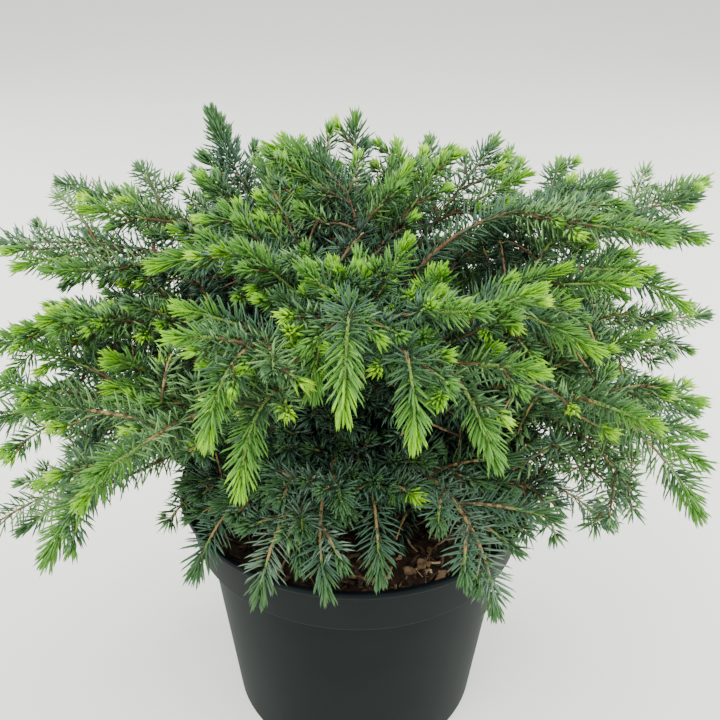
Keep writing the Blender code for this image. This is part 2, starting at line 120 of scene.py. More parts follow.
# Boughs that leave the trunk's side: name, azimuth, reach, height of the tip, dip at the tip,
# turn at the tip, start above the soil in mm, rise, side shoots. Angles are in degrees.
BOUGHS = (
    ("right_high", 24, 0.207, 0.282, -8, 5, 40, 0.62, 4),
    ("right_back", 40, 0.196, 0.272, 0, 4, 51, 0.60, 4),
    ("top_right", -49, 0.084, 0.258, 24, 0, 40, 0.72, 4),
    ("right_middle", -4, 0.154, 0.252, 28, -20, 50, 0.62, 4),
    ("right_front", -27, 0.170, 0.183, 58, 0, 34, 0.66, 5),
    ("front_upper", -32, 0.116, 0.254, 22, 0, 61, 0.62, 4),
    ("front_right", -61, 0.124, 0.154, 74, 0, 20, 0.55, 4),
    ("front_big", -66, 0.127, 0.237, 45, 0, 50, 0.66, 5),
    ("front_left", -116, 0.127, 0.245, 66, 0, 47, 0.62, 4),
    ("left_front", -140, 0.167, 0.179, 56, 0, 34, 0.60, 5),
    ("left_low", -162, 0.200, 0.204, 14, 0, 26, 0.56, 4),
    ("left_middle", -178, 0.188, 0.222, 12, 0, 42, 0.62, 4),
    ("left_upper", 163, 0.204, 0.252, 8, 0, 50, 0.62, 4),
    ("left_back", 150, 0.196, 0.273, -4, 0, 58, 0.60, 4),
    ("back_left", 124, 0.180, 0.232, 20, 0, 38, 0.60, 4),
    ("back_middle", 94, 0.182, 0.240, 24, 0, 50, 0.62, 4),
    ("back_right", 66, 0.186, 0.208, 24, 0, 28, 0.56, 4),
)

# Sprays that spring from the trunk itself, low ones and front ones, in the same terms
LOW_SPRAYS = (
    ("right_low", 17, 0.204, 0.212, 6, 5, 24, 0.56, 4),
    ("right_under", 2, 0.176, 0.182, 12, 0, 13, 0.50, 4),
    ("right_foot", -15, 0.132, 0.140, 34, -10, 6, 0.45, 4),
    ("front_star", -84, 0.100, 0.164, 62, 0, 13, 0.60, 4),
    ("front_foot", -97, 0.105, 0.160, 68, 40, 26, 0.80, 5),
    ("front_low", -112, 0.110, 0.154, 66, 0, 7, 0.60, 5),
    ("front_under", -130, 0.112, 0.152, 60, 0, 18, 0.55, 4),
    ("fall_left", -111, 0.124, 0.222, 76, 0, 40, 0.70, 5),
    ("fall_middle", -92, 0.125, 0.263, 66, 0, 57, 0.66, 5),
    ("fall_right", -80, 0.124, 0.251, 72, 0, 33, 0.70, 5),
    ("left_foot", -168, 0.190, 0.137, 30, 0, 8, 0.50, 4),
    ("left_under", 163, 0.136, 0.160, 40, 0, 19, 0.50, 4),
    ("back_under", 138, 0.176, 0.178, 34, 0, 27, 0.50, 4),
    ("back_low", 112, 0.130, 0.152, 50, 0, 9, 0.50, 4),
    ("back_foot", 76, 0.140, 0.158, 46, 0, 16, 0.50, 4),
    ("side_foot", 38, 0.142, 0.156, 44, 0, 8, 0.50, 4),
)

# Leaders that stand on the trunk's fork: name, azimuth, reach, height, dip, turn, rise, side shoots
LEADERS = (
    ("crest_forward", 136, 0.058, 0.310, -10, 44, 0.80, 4),
    ("crest_right", 50, 0.112, 0.301, -32, 0, 0.60, 5),
    ("crest_middle", 92, 0.072, 0.315, -72, 0, 0.55, 4),
    ("crest_left", 141, 0.096, 0.319, -66, 0, 0.62, 4),
    ("top_left", -160, 0.092, 0.278, 10, 0, 0.60, 4),
    ("top_front", -100, 0.098, 0.256, 52, 0, 0.60, 4),
    ("right_upper", 12, 0.178, 0.268, 18, -5, 0.90, 1),
)

# Finer twigs, which only the dressed plant has
FINE_SPACE = 0.0045
FINE_SPACING = 0.0175
FINE_SHARES = (0.35, 0.75)
FINE_LONGEST = 0.042
FINE_SHORTEST = 0.014
FINE_ANGLES = (38, 58)
FINE_LIFTS = (-45, 32)
FINE_DROOPS = (-0.15, 0.20)
FINE_LAST = 0.80
LEADER_LAST = 0.94
INNER_RADIUS = 0.062
# Painted light: shoots beyond this radius stand on the crown's lit sides and get lighter needle colours
LIT_RIM_RADIUS = 0.090
DENSE_SPACING = 0.0100
RIM_RADIUS = 0.130
RIM_SPACING = 0.0200
POT_SPACE = 0.0015
DENSE_MASSES = ("back_middle", "back_left", "back_right", "back_under", "right_under", "left_under", "right_low",
                "left_low", "left_middle", "front_star", "front_foot", "front_low", "front_under")
DENSE_LONGEST = 0.050
TWIGLET_PARENT = 0.030
TWIGLET_SHARE = 0.75

# Twigs inside the crown, which close it to the light from behind; their needles are painted dark as shade
FILL_SEED = 7000
FILL_TRIALS = 9000
FILL_CENTRE = np.array((0.0, 0.010, 0.170))
FILL_SIZE = np.array((0.150, 0.140, 0.120))
FILL_LOWEST = 0.155
FILL_FRONT = -0.070
FILL_SPACE = 0.0088
FILL_REACH = 0.045
FILL_STRETCH = 1.35
FILL_SHORTEST = 0.022
FILL_ARCH = 0.4

# Open places, each round its middle line: the dark hollow under the level branch at the upper right,
# the gap at the front through which the mulch shows, and gaps at the lower right and left that show
# the sky. Both ends and the radius.
OPENINGS = (
    ((0.032, -0.070, 0.302), (0.045, 0.045, 0.257), 0.018),
    ((0.037, -0.071, 0.143), (0.027, -0.160, 0.223), 0.019),
    ((0.114, -0.120, 0.247), (0.177, 0.030, 0.147), 0.016),
    ((0.125, -0.120, 0.236), (0.195, 0.030, 0.130), 0.014),
    ((0.084, -0.120, 0.219), (0.131, 0.030, 0.103), 0.010),
    ((-0.078, -0.120, 0.226), (-0.123, 0.030, 0.115), 0.014),
    ((-0.092, -0.120, 0.207), (-0.144, 0.030, 0.085), 0.012),
)

# Shade inside the crown, which holds back new growth and gives shaded shoots dark needle colours as painted shade
SKY_UP = 0.6
SHADE_REACH = 0.060
SHADE_NEAR = 0.008
SHADE_CONE = 0.70
SHADE_FULL = 230

# Radii of the twigs, thinner than the source's cores because needles now stand on them
STEM_TWIG_RADIUS = 0.00130
SIDE_TWIG_RADIUS = 0.00100
FINE_TWIG_RADIUS = 0.00075
TWIG_TIP_RADIUS = 0.00050
STEM_SIDES = 5
TWIG_SIDES = 3
STEM_BARE = {"bough": 0.002, "trunk": 0.022, "fork": 0.012}

# Needles: how many, how long, and how they lean from their twig in degrees
NEEDLES_PER_MM = 1.60
FRESH_NEEDLES_PER_MM = 2.7
NEEDLE_LENGTH = 0.0106
NEEDLE_RADIUS = 0.00050
OLD_LEAN = 70
FRESH_LEAN = 46
TIP_LEAN = 14
TIP_SPREAD = 24
FRESH_SHORTER = 0.12
NEEDLE_SIZES = {"stem": 1.16, "side": 1.04, "fine": 0.94, "limb": 1.0, "inner": 1.0}
LOW_FRONT = ("front_star", "front_foot", "front_low", "front_under", "front_right")
LOW_FRONT_SIZE = 1.04
TIP_ZONE = 0.011
BLUNT_TIP_LEAN = 34
GOLDEN_TURN = 2.39996
NEEDLE_BEND = 0.14
FRESH_BEND = 0.20
TUFT_NEEDLES = 9
PIECE_NEEDLES = 21000

# Needle colours, linear
NEEDLE_COLOURS = {
    "blue": (0.073, 0.152, 0.090),
    "pale": (0.150, 0.240, 0.158),
    # Painted shade: the next colour is a dark needle colour for the shoots that stand in shade inside the crown
    "painted_shade": (0.018, 0.042, 0.022),
    "green": (0.065, 0.148, 0.053),
    # Painted light: the next colour is a mid green for old needles, given mostly to the crown's sides as painted light
    "mid_and_lit": (0.172, 0.328, 0.110),
    "spring": (0.108, 0.272, 0.040),
    "lime": (0.205, 0.470, 0.020),
    "bud": (0.350, 0.630, 0.030),
}
NEEDLE_GLOSS = 0.15
COLOUR_NAMES = list(NEEDLE_COLOURS)
BLUE, PALE, PAINTED_SHADE, GREEN, MID_AND_LIT, SPRING, LIME, BUD = range(8)
TWIG_COLOURS = {
    "brown": (0.140, 0.080, 0.036),
    "tan": (0.350, 0.235, 0.092),
    "shoot": (0.200, 0.320, 0.060),
}
TWIG_NAMES = list(TWIG_COLOURS)
TAN_SHARE = 0.40
BROWN_SHARE = 0.85
BROWN, TAN, SHOOT = range(3)

# The one bright bud among the dark low sprays at the front: its mass, its place in it, and its length
BRIGHT_BUD = ("front_star", 3)
BRIGHT_BUD_LENGTH = 0.008

# The bluish spire at the upper left, whose leading shoot is dense and stays dark to its tip
SPIRE = "crest_left"
SPIRE_SIZE = 1.15
SPIRE_TIP = 0.024

# The two large sprays that reach down at the lower left and right, with long full tips
BOLD_TIPS = ("left_front", "right_front")
BOLD_SIZE = 1.25

# How a mass looks: share of its shoots with new growth, share of shoots painted dark as shade, and how blue
MASS_LOOKS = {
    "right_high": (0.75, 0.1, 0.3), "right_back": (0.75, 0.1, 0.3), "right_upper": (0.95, 0.0, 0.3),
    "right_middle": (0.95, 0.0, 0.3), "right_front": (0.95, 0.0, 0.4), "front_upper": (0.75, 0.0, 0.5),
    "front_right": (0.00, 0.0, 0.9), "front_big": (0.85, 0.0, 0.5), "front_left": (0.85, 0.0, 0.5),
    "left_front": (0.85, 0.0, 0.5), "left_low": (0.85, 0.0, 0.4), "left_middle": (0.85, 0.0, 0.3),
    "left_upper": (0.60, 0.1, 0.3), "left_back": (0.55, 0.1, 0.3), "back_left": (0.80, 0.1, 0.3),
    "back_middle": (0.80, 0.1, 0.3), "back_right": (0.80, 0.1, 0.3), "right_low": (0.25, 0.5, 0.4),
    "right_under": (0.20, 0.6, 0.5), "right_foot": (0.10, 0.7, 0.6), "front_star": (0.05, 0.0, 1.0),
    "front_foot": (0.00, 0.0, 1.0), "front_low": (0.00, 0.1, 1.0), "front_under": (0.00, 0.1, 0.9),
    "fall_left": (0.85, 0.0, 0.6), "fall_middle": (0.90, 0.0, 0.6), "fall_right": (0.80, 0.0, 0.6),
    "left_foot": (0.15, 0.6, 0.5), "left_under": (0.25, 0.4, 0.5), "back_under": (0.50, 0.2, 0.4),
    "back_low": (0.20, 0.4, 0.6), "back_foot": (0.20, 0.4, 0.6), "side_foot": (0.20, 0.5, 0.6),
    "crest_forward": (0.65, 0.0, 0.3), "crest_right": (0.70, 0.0, 0.3), "crest_middle": (0.75, 0.0, 0.3),
    "crest_left": (0.35, 0.0, 0.6), "top_left": (0.50, 0.0, 0.5), "top_front": (0.55, 0.0, 0.6),
    "top_right": (0.50, 0.0, 0.5),
}


def unit(vector):
    return vector / np.linalg.norm(vector)


def heading(azimuth, dip):
    """Direction from an azimuth and a dip below the level, both in degrees."""
    turn, fall = math.radians(azimuth), math.radians(dip)
    return np.array((math.cos(turn) * math.cos(fall), math.sin(turn) * math.cos(fall), -math.sin(fall)))


def curve(points, count):
    """A Bezier curve through three or four control points."""
    t = np.linspace(0, 1, count)[:, None]
    while len(points) > 1:
        points = [(1 - t) * a + t * b for a, b in zip(points, points[1:])]
    return points[0]


def evenly(line, step):
    """The same line with its points a steady step apart."""
    lengths = np.concatenate(([0], np.cumsum(np.linalg.norm(np.diff(line, axis=0), axis=1))))
    count = max(3, int(round(lengths[-1] / step)) + 1)
    places = np.linspace(0, lengths[-1], count)
    return np.stack([np.interp(places, lengths, line[:, axis]) for axis in range(3)], 1)


def trunk_axis(height):
    share = (height - SOIL_TOP) / (TRUNK_TOP - SOIL_TOP)
    return TRUNK_LEAN * share + UP * height


def bough_line(row):
    """A bough's whole line: up and out from the trunk, over its crest and down to its tip."""
    name, azimuth, reach, height, dip, turn, start, rise, shoots = row
    base = trunk_axis(SOIL_TOP + start * START_SCALE)
    tip = UP * height + heading(azimuth, 0) * reach
    span = np.linalg.norm(tip - base)
    lift = heading(azimuth, -(LOW_LIMB_LIFT + LIFT_PER_MM * start))
    end = heading(azimuth + turn, dip)
    points = [base, base + lift * span * rise * BOUGH_RISE, tip - end * span * TIP_PULL, tip]
    return evenly(curve(points, CURVE_POINTS), STEP)


def leader_line(row, place):
    """A leader's whole line, from its own seat on the trunk's fork to its tip."""
    name, azimuth, reach, height, dip, turn, rise, shoots = row
    seat = FORK_AZIMUTH_STEP * place + FORK_FIRST_AZIMUTH
    base = trunk_axis(TRUNK_TOP) + UP * GAP
    lift = UP
    if place:
        base = base + heading(seat, 0) * FORK_RING_RADIUS
        lift = heading(seat, -LEADER_LIFT)
    tip = UP * height + heading(azimuth, 0) * reach
    span = np.linalg.norm(tip - base)
    end = heading(azimuth + turn, dip)
    points = [base, base + lift * span * rise * LEADER_RISE, tip - end * span * TIP_PULL, tip]
    return evenly(curve(points, CURVE_POINTS), STEP)


def plan_limbs():
    """Every bough and leader, with the bare limb and the foliage's stem as lines."""
    masses = []
    for row in BOUGHS:
        line = bough_line(row)
        cut = int(len(line) * LIMB_SHARE)
        masses.append({"name": row[0], "carrier": "bough", "limb": line[:cut + 1], "stem": line[cut:],
                       "shoots": row[-1]})
    for row in LOW_SPRAYS:
        masses.append({"name": row[0], "carrier": "trunk", "stem": bough_line(row), "shoots": row[-1]})
    for place, row in enumerate(LEADERS):
        masses.append({"name": row[0], "carrier": "fork", "stem": leader_line(row, place), "shoots": row[-1]})
    for number, mass in enumerate(masses):
        mass["number"] = number
        mass["sides"] = []
    return masses


def lines_of(mass):
    limb = [mass["limb"]] if mass["carrier"] == "bough" else []
    return limb + [mass["stem"]] + mass["sides"]


def nearest(points, lines):
    """Smallest distance from any of the points to any of the lines."""
    cloud = np.concatenate(lines)
    return math.sqrt(((points[:, None] - cloud[None]) ** 2).sum(2).min())


def side_shoot(stem, index, side, angle, lift, length, droop):
    """A shoot that leaves the stem sideways and bends towards the stem's own way."""
    root = stem[index]
    along = unit(stem[min(index + 1, len(stem) - 1)] - stem[index - 1])
    across = np.cross(along, UP)
    if np.linalg.norm(across) < NEARLY_UPRIGHT:
        across = np.cross(along, np.array((0.0, 1.0, 0.0)))
    across = unit(across)
    above = np.cross(across, along)
    out = math.cos(lift) * side * across + math.sin(lift) * above
    first = unit(math.cos(angle) * along + math.sin(angle) * out)
    last = unit(first * OWN_WAY + along * STEM_WAY - UP * droop)
    middle = root + first * length * 0.5
    return evenly(curve([root, middle, middle + last * length * 0.5], SHOOT_CURVE_POINTS), STEP)


def outer_radius(height):
    """Outside radius of the pot at one height."""
    if height > POT_BAND_BOTTOM:
        return POT_LIP_RADIUS
    share = max(0.0, height / POT_BAND_BOTTOM)
    return POT_FOOT_RADIUS + (POT_BODY_TOP_RADIUS - POT_FOOT_RADIUS) * share


def meets_pot(points, margin):
    """True where any point is in the pot's wall or in the soil, or nearer to them than the margin."""
    for x, y, z in points:
        out = math.hypot(x, y)
        if z > POT_HEIGHT + margin or out > outer_radius(z) + margin:
            continue
        inside = out < POT_BAND_RADIUS - POT_WALL - margin
        if not inside or z < SOIL_TOP + SOIL_ROUGHNESS + margin:
            return True
    return False


def grow_side_shoots(masses):
    """Adds side shoots in turn to each stem, each where it keeps clear of the other masses."""
    for turn in range(max(mass["shoots"] for mass in masses)):
        for mass in masses:
            if turn >= mass["shoots"]:
                continue
            draw = np.random.default_rng(100 * mass["number"] + turn)
            stem = mass["stem"]
            first = FIRST_SHOOT[mass["carrier"]]
            share = first + (LAST_SHOOT - first) * (turn + 0.5) / mass["shoots"]
            share += draw.uniform(-SIDE_JITTER, SIDE_JITTER)
            index = int(len(stem) * share)
            side = 1 if (turn + mass["number"]) % 2 else -1
            left = (len(stem) - index) * STEP
            length = min(SIDE_LONGEST, max(SIDE_SHORTEST, left * draw.uniform(*SIDE_LENGTHS)))
            angle = math.radians(draw.uniform(*SIDE_ANGLES))
            lift = math.radians(draw.uniform(*SIDE_LIFTS))
            others = [line for other in masses if other is not mass for line in lines_of(other)]
            for trial in range(SIDE_TRIALS):
                shoot = side_shoot(stem, index, side, angle, lift, length, draw.uniform(*SIDE_DROOPS))
                if nearest(shoot[ROOT_POINTS:], others) > SIDE_SPACE and not meets_pot(shoot, SIDE_SPACE):
                    mass["sides"].append(shoot)
                    break
                length *= RETRY_SHRINK
                lift += RETRY_LIFT
                angle += math.radians(draw.uniform(-RETRY_TURN, RETRY_TURN))
                if length < SIDE_GIVE_UP:
                    break


def in_opening(points):
    """True where any point is in one of the open places."""
    for start, end, radius in OPENINGS:
        axis = np.subtract(end, start)
        share = np.clip((points - start) @ axis / (axis @ axis), 0, 1)[:, None]
        if np.linalg.norm(points - start - axis * share, axis=1).min() < radius:
            return True
    return False


def grow_fine(mass, masses):
    """Finer twigs on the stem, its side shoots and the limb's outer part, inside the mass's own space."""
    draw = np.random.default_rng(5000 + mass["number"])
    others = [line for other in masses if other is not mass for line in lines_of(other)]
    cloud = np.concatenate(others)
    parents = [mass["stem"]] + mass["sides"]
    if mass["carrier"] == "bough":
        parents.append(mass["limb"][len(mass["limb"]) // 5:])
    dense = mass["name"] in DENSE_MASSES
    longest = DENSE_LONGEST if dense else FINE_LONGEST
    last = LEADER_LAST if mass["carrier"] == "fork" else FINE_LAST
    fine = []
    for level in range(2):
        grown = []
        for parent in parents:
            length = len(parent) * STEP
            inner = np.hypot(*parent[:, :2].mean(0)) < INNER_RADIUS
            spacing = DENSE_SPACING if dense or inner else FINE_SPACING
            if np.hypot(*parent[:, :2].mean(0)) > RIM_RADIUS:
                spacing = RIM_SPACING
            count = int(length / spacing)
            first_side = draw.integers(0, 2)
            for k in range(count):
                share = (k + draw.uniform(0.2, 0.8)) / count
                index = max(1, int(len(parent) * share))
                side = 1 if (k + first_side) % 2 else -1
                reach = min(longest, max(FINE_SHORTEST, (1 - share) * length * draw.uniform(*FINE_SHARES)))
                if level:
                    reach *= TWIGLET_SHARE
                angle = math.radians(draw.uniform(*FINE_ANGLES))
                lift = math.radians(draw.uniform(*FINE_LIFTS))
                shoot = side_shoot(parent, index, side, angle, lift, reach, draw.uniform(*FINE_DROOPS))
                gap = math.sqrt(((shoot[ROOT_POINTS:, None] - cloud[None]) ** 2).sum(2).min())
                if share > last or gap < FINE_SPACE or meets_pot(shoot, POT_SPACE) or in_opening(shoot):
                    continue
                grown.append(shoot)
        fine += grown
        parents = [shoot for shoot in grown if len(shoot) * STEP > TWIGLET_PARENT]
    mass["fine"] = fine


def fill_inside(masses):
    """Twigs into the empty places inside the crown, each from the nearest shoot; their needles are later painted dark
    as shade.
    """
    draw = np.random.default_rng(FILL_SEED)
    lines = [(mass, line) for mass in masses for line in lines_of(mass) + mass["fine"]]
    points = np.concatenate([line for mass, line in lines])
    owners = np.concatenate([np.full(len(line), mass["number"]) for mass, line in lines])
    for mass in masses:
        mass["inner"] = []
    for trial in range(FILL_TRIALS):
        share = draw.uniform(-1, 1, 3)
        place = FILL_CENTRE + FILL_SIZE * share
        if share @ share > 1 or place[2] < FILL_LOWEST or place[1] < FILL_FRONT or in_opening(place[None]):
            continue
        far = np.linalg.norm(points - place, axis=1)
        near = int(far.argmin())
        if not FILL_SPACE < far[near] < FILL_REACH:
            continue
        root = points[near]
        tip = root + (place - root) * max(FILL_STRETCH, FILL_SHORTEST / far[near])
        middle = (root + tip) / 2 + UP * far[near] * draw.uniform(0, FILL_ARCH)
        line = evenly(curve([root, middle, tip], SHOOT_CURVE_POINTS), STEP)
        if meets_pot(line, POT_SPACE) or in_opening(line):
            continue
        masses[owners[near]]["inner"].append(line)
        points = np.concatenate((points, line))
        owners = np.concatenate((owners, np.full(len(line), owners[near])))


def frames(line):
    """Tangent and two square directions at each point, carried along without twist."""
    tangents = np.gradient(line, axis=0)
    tangents /= np.linalg.norm(tangents, axis=1)[:, None]
    across = np.cross(tangents[0], UP)
    if np.linalg.norm(across) < NEARLY_UPRIGHT:
        across = np.cross(tangents[0], np.array((0.0, 1.0, 0.0)))
    result = np.zeros((len(line), 3, 3))
    for index, tangent in enumerate(tangents):
        across = unit(across - tangent * np.dot(across, tangent))
        result[index] = (tangent, across, np.cross(across, tangent))
    return result


def dress(line, bare, colours, fresh_length, grade, full, draw):
    """Needle rows for one shoot: root, way, bend, length, radius, colour number and whether full.

    The last fresh_length is new growth; colours run from the old needles to the newest ones, and
    grade is the size of this shoot's needles. Full needles are rods, the others taper both ways.
    """
    base = frames(line)
    length = (len(line) - 1) * STEP
    old, middle, new, last = colours
    start = max(bare, length - fresh_length)
    old_places = np.arange(bare, start, 0.001 / NEEDLES_PER_MM / grade)
    fresh_places = np.arange(start, length, 0.001 / FRESH_NEEDLES_PER_MM / grade ** 2)
    at = np.concatenate((old_places, fresh_places, np.full(TUFT_NEEDLES, length)))
    count = len(at)
    spot = np.clip(at / STEP, 0, len(line) - 1.001)
    low = spot.astype(int)
    mix = (spot - low)[:, None]
    root = line[low] * (1 - mix) + line[low + 1] * mix
    tangent, across, above = base[low, 0], base[low, 1], base[low, 2]
    turn = np.arange(count) * GOLDEN_TURN + draw.uniform(-0.4, 0.4, count)
    around = np.cos(turn)[:, None] * across + np.sin(turn)[:, None] * above * 0.85 + UP * 0.12
    around -= tangent * (around * tangent).sum(1)[:, None]
    around /= np.linalg.norm(around, axis=1)[:, None]
    left = length - at
    newness = np.clip((fresh_length - left) / max(fresh_length, 1e-6), 0, 1)
    end_lean = TIP_LEAN if fresh_length > 0 else BLUNT_TIP_LEAN
    near_tip = np.clip(1 - left / TIP_ZONE, 0, 1)
    lean = OLD_LEAN + (FRESH_LEAN - OLD_LEAN) * newness
    end_lean = end_lean + draw.uniform(0, TIP_SPREAD, count)
    lean = lean + (end_lean - lean) * near_tip + draw.normal(0, 8, count)
    lean = np.radians(np.clip(lean, 6, 85))
    way = np.cos(lean)[:, None] * tangent + np.sin(lean)[:, None] * around
    size = NEEDLE_LENGTH * grade * draw.uniform(0.78, 1.12, count) * np.clip(0.6 + at / 0.016, 0.6, 1.0)
    size *= (1 - 0.12 * near_tip) * (1 - FRESH_SHORTER * newness)
    radius = NEEDLE_RADIUS * (1 + 0.10 * newness) * draw.uniform(0.9, 1.1, count)
    shade = newness + draw.uniform(-0.12, 0.12, count)
    colour = np.where(shade > 0.82, last, np.where(shade > 0.38, new, np.where(shade > 0.05, middle, old)))
    bend = (tangent - way * (tangent * way).sum(1)[:, None]) * (NEEDLE_BEND + FRESH_BEND * newness)[:, None]
    return root, way, bend, size, radius, colour, np.full(count, full)


def mesh_from(name, points, quads, triangles, quad_slots, triangle_slots, materials):
    """A mesh from arrays of points, quads and triangles with their material slots."""
    mesh = bpy.data.meshes.new(name)
    loops = np.concatenate((quads.ravel(), triangles.ravel())).astype(np.int32)
    sizes = np.concatenate((np.full(len(quads), 4), np.full(len(triangles), 3))).astype(np.int32)
    starts = np.concatenate(([0], np.cumsum(sizes)[:-1])).astype(np.int32)
    mesh.vertices.add(len(points))
    mesh.vertices.foreach_set("co", points.astype(np.float32).ravel())
    mesh.loops.add(len(loops))
    mesh.loops.foreach_set("vertex_index", loops)
    mesh.polygons.add(len(sizes))
    mesh.polygons.foreach_set("loop_start", starts)
    mesh.polygons.foreach_set("loop_total", sizes)
    slots = np.concatenate((quad_slots, triangle_slots)).astype(np.int32)
    mesh.polygons.foreach_set("material_index", slots)
    mesh.polygons.foreach_set("use_smooth", np.ones(len(sizes), dtype=bool))
    for material in materials:
        mesh.materials.append(material)
    mesh.update(calc_edges=True)
    mesh.validate()
    item = bpy.data.objects.new(name, mesh)
    bpy.context.scene.collection.objects.link(item)
    return item


NO_TRIANGLES = np.zeros((0, 3), dtype=int)
NO_SLOTS = np.zeros(0, dtype=int)


def needle_piece(name, rows, materials):
    """Needles as slim three-sided spindles, each bent a little towards its twig's tip.

    Full ones have two rings, the others one.
    """
    root, way, bend, size, radius, colour, full = [np.concatenate([row[k] for row in rows]) for k in range(7)]
    across = np.cross(way, np.where(np.abs(way[:, 2:]) > 0.9, np.array((1.0, 0.0, 0.0)), UP))
    across /= np.linalg.norm(across, axis=1)[:, None]
    above = np.cross(across, way)
    points, quads, triangles, quad_slots, triangle_slots = [], [], [], [], []
    first = 0
    for chosen, shares, widths in ((full, (0.30, 0.82), (0.94, 0.78)), (~full, (0.52,), (1.30,))):
        count = int(chosen.sum())
        rings = len(shares)
        spindle = np.zeros((count, 2 + 3 * rings, 3))
        for spot, share in zip([0] + [1 + 3 * ring for ring in range(rings)] + [1 + 3 * rings], (0.0, *shares, 1.0)):
            place = way[chosen] * share + bend[chosen] * share ** 2
            spindle[:, spot] = root[chosen] + place * size[chosen, None]
        for ring in range(rings):
            centre = spindle[:, 1 + 3 * ring].copy()
            for k in range(3):
                angle = 2 * math.pi * k / 3 + math.pi / 6
                offset = math.cos(angle) * across[chosen] + math.sin(angle) * above[chosen]
                spindle[:, 1 + 3 * ring + k] = centre + offset * radius[chosen, None] * widths[ring]
        tip = 1 + 3 * rings
        base = first + (np.arange(count) * (tip + 1))[:, None, None]
        ends = np.array([[0, 2, 1], [0, 3, 2], [0, 1, 3], [tip - 3, tip - 2, tip], [tip - 2, tip - 1, tip],
                         [tip - 1, tip - 3, tip]])
        triangles.append((base + ends[None]).reshape(-1, 3))
        triangle_slots.append(np.repeat(colour[chosen], 6))
        if rings == 2:
            quads.append((base + np.array([[1, 2, 5, 4], [2, 3, 6, 5], [3, 1, 4, 6]])[None]).reshape(-1, 4))
            quad_slots.append(np.repeat(colour[chosen], 3))
        points.append(spindle.reshape(-1, 3))
        first += count * (tip + 1)
    return mesh_from(name, np.concatenate(points), np.concatenate(quads), np.concatenate(triangles),
                     np.concatenate(quad_slots), np.concatenate(triangle_slots), materials)


class Tubes:
    """Twigs or limbs gathered as arrays of points, quads and end caps."""

    def __init__(self):
        self.points = []
        self.quads = []
        self.slots = []
        self.caps = []
        self.cap_slots = []
        self.count = 0

    def add(self, line, radii, slots, sides):
        """One tube along a line; radii are given by ring, or by ring and side."""
        base = frames(line)
        angles = 2 * math.pi * np.arange(sides) / sides
        offset = np.cos(angles)[None, :, None] * base[:, None, 1] + np.sin(angles)[None, :, None] * base[:, None, 2]
        radii = radii.reshape(len(line), -1, 1)
        points = line[:, None] + offset * radii
        rows = len(line)
        index = self.count + np.arange(rows * sides).reshape(rows, sides)
        follow = np.roll(index, -1, axis=1)
        quads = np.stack((index[:-1], follow[:-1], follow[1:], index[1:]), -1).reshape(-1, 4)
        tip = points[-1].mean(0) + base[-1, 0] * radii[-1].mean()
        self.points.append(np.concatenate((points.reshape(-1, 3), [tip])))
        top = self.count + rows * sides
        self.count = top + 1
        self.quads.append(quads)
        self.slots.append(np.repeat(slots[:-1], sides))
        self.caps.append(np.stack((index[-1], follow[-1], np.full(sides, top)), -1))
        self.cap_slots.append(np.full(sides, slots[-1]))

    def piece(self, name, materials):
        return mesh_from(name, np.concatenate(self.points), np.concatenate(self.quads), np.concatenate(self.caps),
                         np.concatenate(self.slots), np.concatenate(self.cap_slots), materials)


def plain_material(name, colour, roughness, specular=0.35):
    material = bpy.data.materials.new(name)
    material.use_nodes = True
    shader = material.node_tree.nodes["Principled BSDF"]
    shader.inputs["Base Color"].default_value = (*colour, 1.0)
    shader.inputs["Roughness"].default_value = roughness
    shader.inputs["Specular IOR Level"].default_value = specular
    return material


def noise_material(name, dark, light, scale, roughness, bump, stretch=(1, 1, 1), edges=(0.35, 0.68), depth=0.0006,
                   specular=0.35):
    """Two colours mixed by noise, with a bump from the same noise."""
    material = plain_material(name, dark, roughness, specular)
    nodes, links = material.node_tree.nodes, material.node_tree.links
    shader = nodes["Principled BSDF"]
    place = nodes.new("ShaderNodeTexCoord")
    size = nodes.new("ShaderNodeMapping")
    size.inputs["Scale"].default_value = stretch
    noise = nodes.new("ShaderNodeTexNoise")
    noise.inputs["Scale"].default_value = scale
    noise.inputs["Detail"].default_value = 6.0
    ramp = nodes.new("ShaderNodeValToRGB")
    ramp.color_ramp.elements[0].color = (*dark, 1.0)
    ramp.color_ramp.elements[0].position = edges[0]
    ramp.color_ramp.elements[1].color = (*light, 1.0)
    ramp.color_ramp.elements[1].position = edges[1]
    relief = nodes.new("ShaderNodeBump")
    relief.inputs["Strength"].default_value = bump
    relief.inputs["Distance"].default_value = depth
    links.new(place.outputs["Object"], size.inputs["Vector"])
    links.new(size.outputs["Vector"], noise.inputs["Vector"])
    links.new(noise.outputs["Fac"], ramp.inputs["Fac"])
    links.new(ramp.outputs["Color"], shader.inputs["Base Color"])
    links.new(noise.outputs["Fac"], relief.inputs["Height"])
    links.new(relief.outputs["Normal"], shader.inputs["Normal"])
    return material


def add_piece(item, nodes):
    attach(item, "root")
    if nodes:
        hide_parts(*nodes)
    return item


def shade_at(tip, cloud):
    """How much growth stands between a shoot's tip and the sky, from 0 in the open to 1 far inside."""
    out = np.array((tip[0], tip[1], 0.0))
    look = unit(UP * SKY_UP + out / max(np.linalg.norm(out), 0.02) * (1 - SKY_UP))
    way = cloud - tip
    far = np.linalg.norm(way, axis=1)
    seen = (far < SHADE_REACH) & (far > SHADE_NEAR) & (way @ look > far * SHADE_CONE)
    return min(1.0, seen.sum() / SHADE_FULL)


